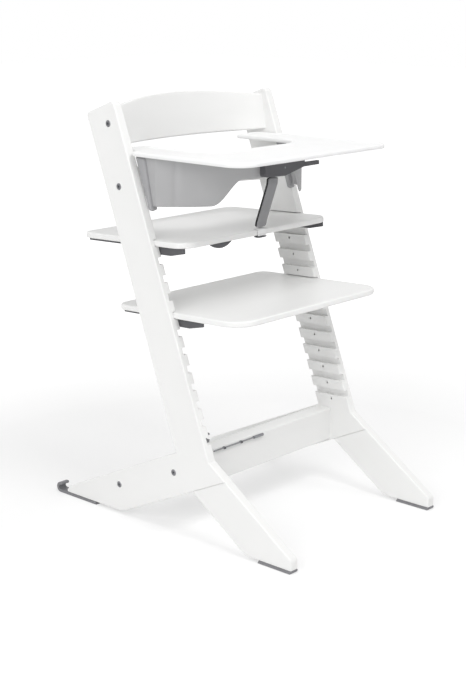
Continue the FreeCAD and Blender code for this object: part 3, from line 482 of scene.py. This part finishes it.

# %% [markdown]
# ## The bar between the legs
# A flat moulded bar runs from the latch down to the seat, where a thin clip grips the seat's front
# edge. On the real thing it is one moulding; here the grey bar and its pale clip are two strips swept
# along a line in the side view, each with a superellipse section that changes along the way. Close
# behind the grey bar runs a black strip that is painted shade: it darkens the bar's side faces.


# %% Bar and clip
def strip_skin(path, half_width, thickness, power=3.0, end=0.04, count=36, steps=60):
    """A strip along a path of (y, z) points; its section stands square to the path.

    The path is resampled evenly by length. Thickness is a list matched to the path's points; both
    ends are domed over the share called end.
    """
    path, thickness = np.asarray(path, float), np.asarray(thickness, float)
    length = np.concatenate([[0], np.cumsum(np.linalg.norm(np.diff(path, axis=0), axis=1))])
    even = np.linspace(0, length[-1], steps)
    y, z = (np.interp(even, length, path[:, k]) for k in (0, 1))
    kernel = np.array([1, 2, 3, 2, 1]) / 9
    y, z = (np.concatenate([v[:2], np.convolve(v, kernel, "valid"), v[-2:]]) for v in (y, z))
    thick = np.interp(even, length, thickness)
    slope = np.stack([np.gradient(y), np.gradient(z)], axis=-1)
    slope /= np.linalg.norm(slope, axis=1, keepdims=True)
    scale = dome(np.linspace(0, 1, steps), end)
    across, deep = rounded_section(half_width, 0.5, power, count)
    x = across[None, :] * scale[:, None]
    push = deep[None, :] * (thick * scale)[:, None]
    side_y = y[:, None] - push * slope[:, 1:2]
    side_z = z[:, None] + push * slope[:, 0:1]
    return np.stack([x, side_y, side_z], axis=-1) * MM


bar_low, bar_high = (np.array(corner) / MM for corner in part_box("crotch_bar"))
seat_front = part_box("seat_plate")[0][1] / MM
BAR_HALF = 13.8
PLATE_THICK = 12.0
EDGE_BOTTOM = bar_low[2] + 5.0
EDGE_TOP = EDGE_BOTTOM + PLATE_THICK
bar_path = np.array([(bar_low[1] + 4.6, bar_high[2]), (bar_low[1] + 5.8, bar_high[2] - 14),
                     (seat_front + 0.5, EDGE_TOP + 16), (seat_front + 3.0, EDGE_TOP + 4.0)])
FACE_AHEAD = np.array((-2.2, 0.0))
bar_face = skin("crotch_bar_face", strip_skin(bar_path + FACE_AHEAD, BAR_HALF, [4.0] * 4), grey_nylon,
                "baby_guard", ["crotch_bar"])
# A black strip set back behind the grey face: painted shade that darkens the bar's side faces.
bar_side_shade_strip = skin("crotch_bar_painted_side_shade", strip_skin(bar_path - FACE_AHEAD, BAR_HALF - 0.4, [5.0] * 4, power=4.0),
                side_shade_black, "baby_guard", ["crotch_bar"])
clip_path = [(seat_front + 12.0, EDGE_TOP + 1.7), (seat_front + 3.0, EDGE_TOP + 1.7),
             (seat_front - 1.2, EDGE_TOP - 0.6), (seat_front - 1.9, EDGE_TOP - 4.0),
             (seat_front - 1.9, EDGE_BOTTOM + 2.0), (seat_front - 1.4, EDGE_BOTTOM - 1.0)]
clip = skin("seat_edge_clip", strip_skin(clip_path, BAR_HALF - 1.5, [2.2] * 6, end=0.03), white_polypropylene,
            "baby_guard", ["crotch_bar"])
hook_path = [(seat_front - 3.6, EDGE_BOTTOM - 1.2), (seat_front - 2.0, EDGE_BOTTOM - 3.0),
             (seat_front + 2.0, EDGE_BOTTOM - 3.2), (seat_front + 9.5, EDGE_BOTTOM - 3.0)]
hook = skin("seat_edge_hook", strip_skin(hook_path, BAR_HALF - 1.0, [2.4, 3.2, 3.2, 2.8], end=0.08), dark_nylon,
            "baby_guard", ["crotch_bar"])

# %% [markdown]
# ## Camera
# The camera stands well back on the chair's right front, a little above its top, and looks slightly
# down. Its place is given from the middle of the chair's floor, in metres.

# %% Camera
camera_data = bpy.data.cameras.new("camera")
camera_data.lens = 72.95
camera_data.sensor_width = 36.0
camera_data.clip_end = 50.0
camera = bpy.data.objects.new("camera", camera_data)
bpy.context.collection.objects.link(camera)
camera.location = (-2.0936, -1.8887, 1.0770)
camera.rotation_euler = (math.radians(75.1), 0, math.radians(-47.55))
bpy.context.scene.camera = camera

# %% [markdown]
# ## Floor, light and world
# A white studio sweep: the floor takes the chair's soft shadow and fades into white. Paint alone would
# fall off into grey away from the lamps, so the floor also glows a little where it is seen directly,
# more with distance from the chair, and the soft shadow under the chair stays.

# %% Floor
FLOOR_HALF = 12.0
floor_mesh = bpy.data.meshes.new("studio_floor")
floor_mesh.from_pydata([(-FLOOR_HALF, -FLOOR_HALF, 0), (FLOOR_HALF, -FLOOR_HALF, 0),
                        (FLOOR_HALF, FLOOR_HALF, 0), (-FLOOR_HALF, FLOOR_HALF, 0)], [], [(0, 1, 2, 3)])
floor = bpy.data.objects.new("studio_floor", floor_mesh)
bpy.context.collection.objects.link(floor)
floor.location.z = -0.0002

GLOW_NEAR, GLOW_FAR = 0.47, 0.85
GLOW_FROM, GLOW_TO = 0.75, 2.4


def only(material_or_world, kind):
    """Clears the node tree and gives back its output node."""
    material_or_world.use_nodes = True
    material_or_world.node_tree.nodes.clear()
    return add(material_or_world, kind)


floor_paint = bpy.data.materials.new("studio_floor_paint")
surface = only(floor_paint, "ShaderNodeOutputMaterial")
place = add(floor_paint, "ShaderNodeTexCoord").outputs["Object"]
distance = add(floor_paint, "ShaderNodeVectorMath", {"operation": "LENGTH"}, {"Vector": place})
strength = add(floor_paint, "ShaderNodeMapRange", {"From Min": GLOW_FROM, "From Max": GLOW_TO, "To Min": GLOW_NEAR,
                                                   "To Max": GLOW_FAR}, {"Value": distance.outputs["Value"]})
glow = add(floor_paint, "ShaderNodeEmission", {}, {"Strength": strength.outputs["Result"]})
paint_node = add(floor_paint, "ShaderNodeBsdfDiffuse", {"Color": linear("#F6F6F6")})
seen_paint = add(floor_paint, "ShaderNodeBsdfDiffuse", {"Color": linear("#BEBEBE")})
both = add(floor_paint, "ShaderNodeAddShader")
floor_paint.node_tree.links.new(seen_paint.outputs[0], both.inputs[0])
floor_paint.node_tree.links.new(glow.outputs[0], both.inputs[1])
pick = add(floor_paint, "ShaderNodeMixShader", {}, {"Fac": add(floor_paint, "ShaderNodeLightPath").outputs["Is Camera Ray"]})
floor_paint.node_tree.links.new(paint_node.outputs[0], pick.inputs[1])
floor_paint.node_tree.links.new(both.outputs[0], pick.inputs[2])
floor_paint.node_tree.links.new(pick.outputs[0], surface.inputs["Surface"])
floor_mesh.materials.append(floor_paint)

# %% World: plain soft light on the chair, pure white where it is seen or mirrored
ROOM_LIGHT = 0.50
world = bpy.data.worlds.new("studio_world")
bpy.context.scene.world = world
surface = only(world, "ShaderNodeOutputWorld")
room = add(world, "ShaderNodeBackground", {"Color": (1, 1, 1, 1), "Strength": ROOM_LIGHT})
seen = add(world, "ShaderNodeBackground", {"Color": (1, 1, 1, 1), "Strength": 1.0})
ray = add(world, "ShaderNodeLightPath")
either = add(world, "ShaderNodeMath", {"operation": "MAXIMUM"})
world.node_tree.links.new(ray.outputs["Is Camera Ray"], either.inputs[0])
world.node_tree.links.new(ray.outputs["Is Glossy Ray"], either.inputs[1])
clear = add(world, "ShaderNodeMath", {"operation": "MAXIMUM"})
world.node_tree.links.new(either.outputs[0], clear.inputs[0])
world.node_tree.links.new(ray.outputs["Is Transmission Ray"], clear.inputs[1])
pick = add(world, "ShaderNodeMixShader", {}, {"Fac": clear.outputs[0]})
world.node_tree.links.new(room.outputs[0], pick.inputs[1])
world.node_tree.links.new(seen.outputs[0], pick.inputs[2])
world.node_tree.links.new(pick.outputs[0], surface.inputs["Surface"])


# %% Lamps
def lamp(name, place, aim, watts, size):
    """A soft square lamp that looks at a point."""
    data = bpy.data.lights.new(name, "AREA")
    data.energy = watts
    data.size = size
    item = bpy.data.objects.new(name, data)
    bpy.context.collection.objects.link(item)
    direction = np.array(aim) - np.array(place)
    across = math.hypot(direction[0], direction[1])
    item.location = place
    heading = math.atan2(direction[1], direction[0]) - math.pi / 2
    item.rotation_euler = (math.atan2(across, -direction[2]), 0, heading)
    return item


MIDDLE = (0, 0, 0.42)
lamp("key_lamp", (-3.4, -0.9, 2.2), MIDDLE, 58, 2.2)
lamp("top_lamp", (0.3, 0.2, 3.6), MIDDLE, 8, 2.4)
lamp("high_front_lamp", (-0.4, -2.2, 3.7), MIDDLE, 52, 1.4)
lamp("right_front_lamp", (1.4, -1.7, 2.9), (0, 0.1, 0.75), 12, 1.0)
lamp("rear_lamp", (-1.0, 3.0, 2.4), MIDDLE, 14, 1.6)
bpy.context.scene.view_settings.view_transform = "Standard"
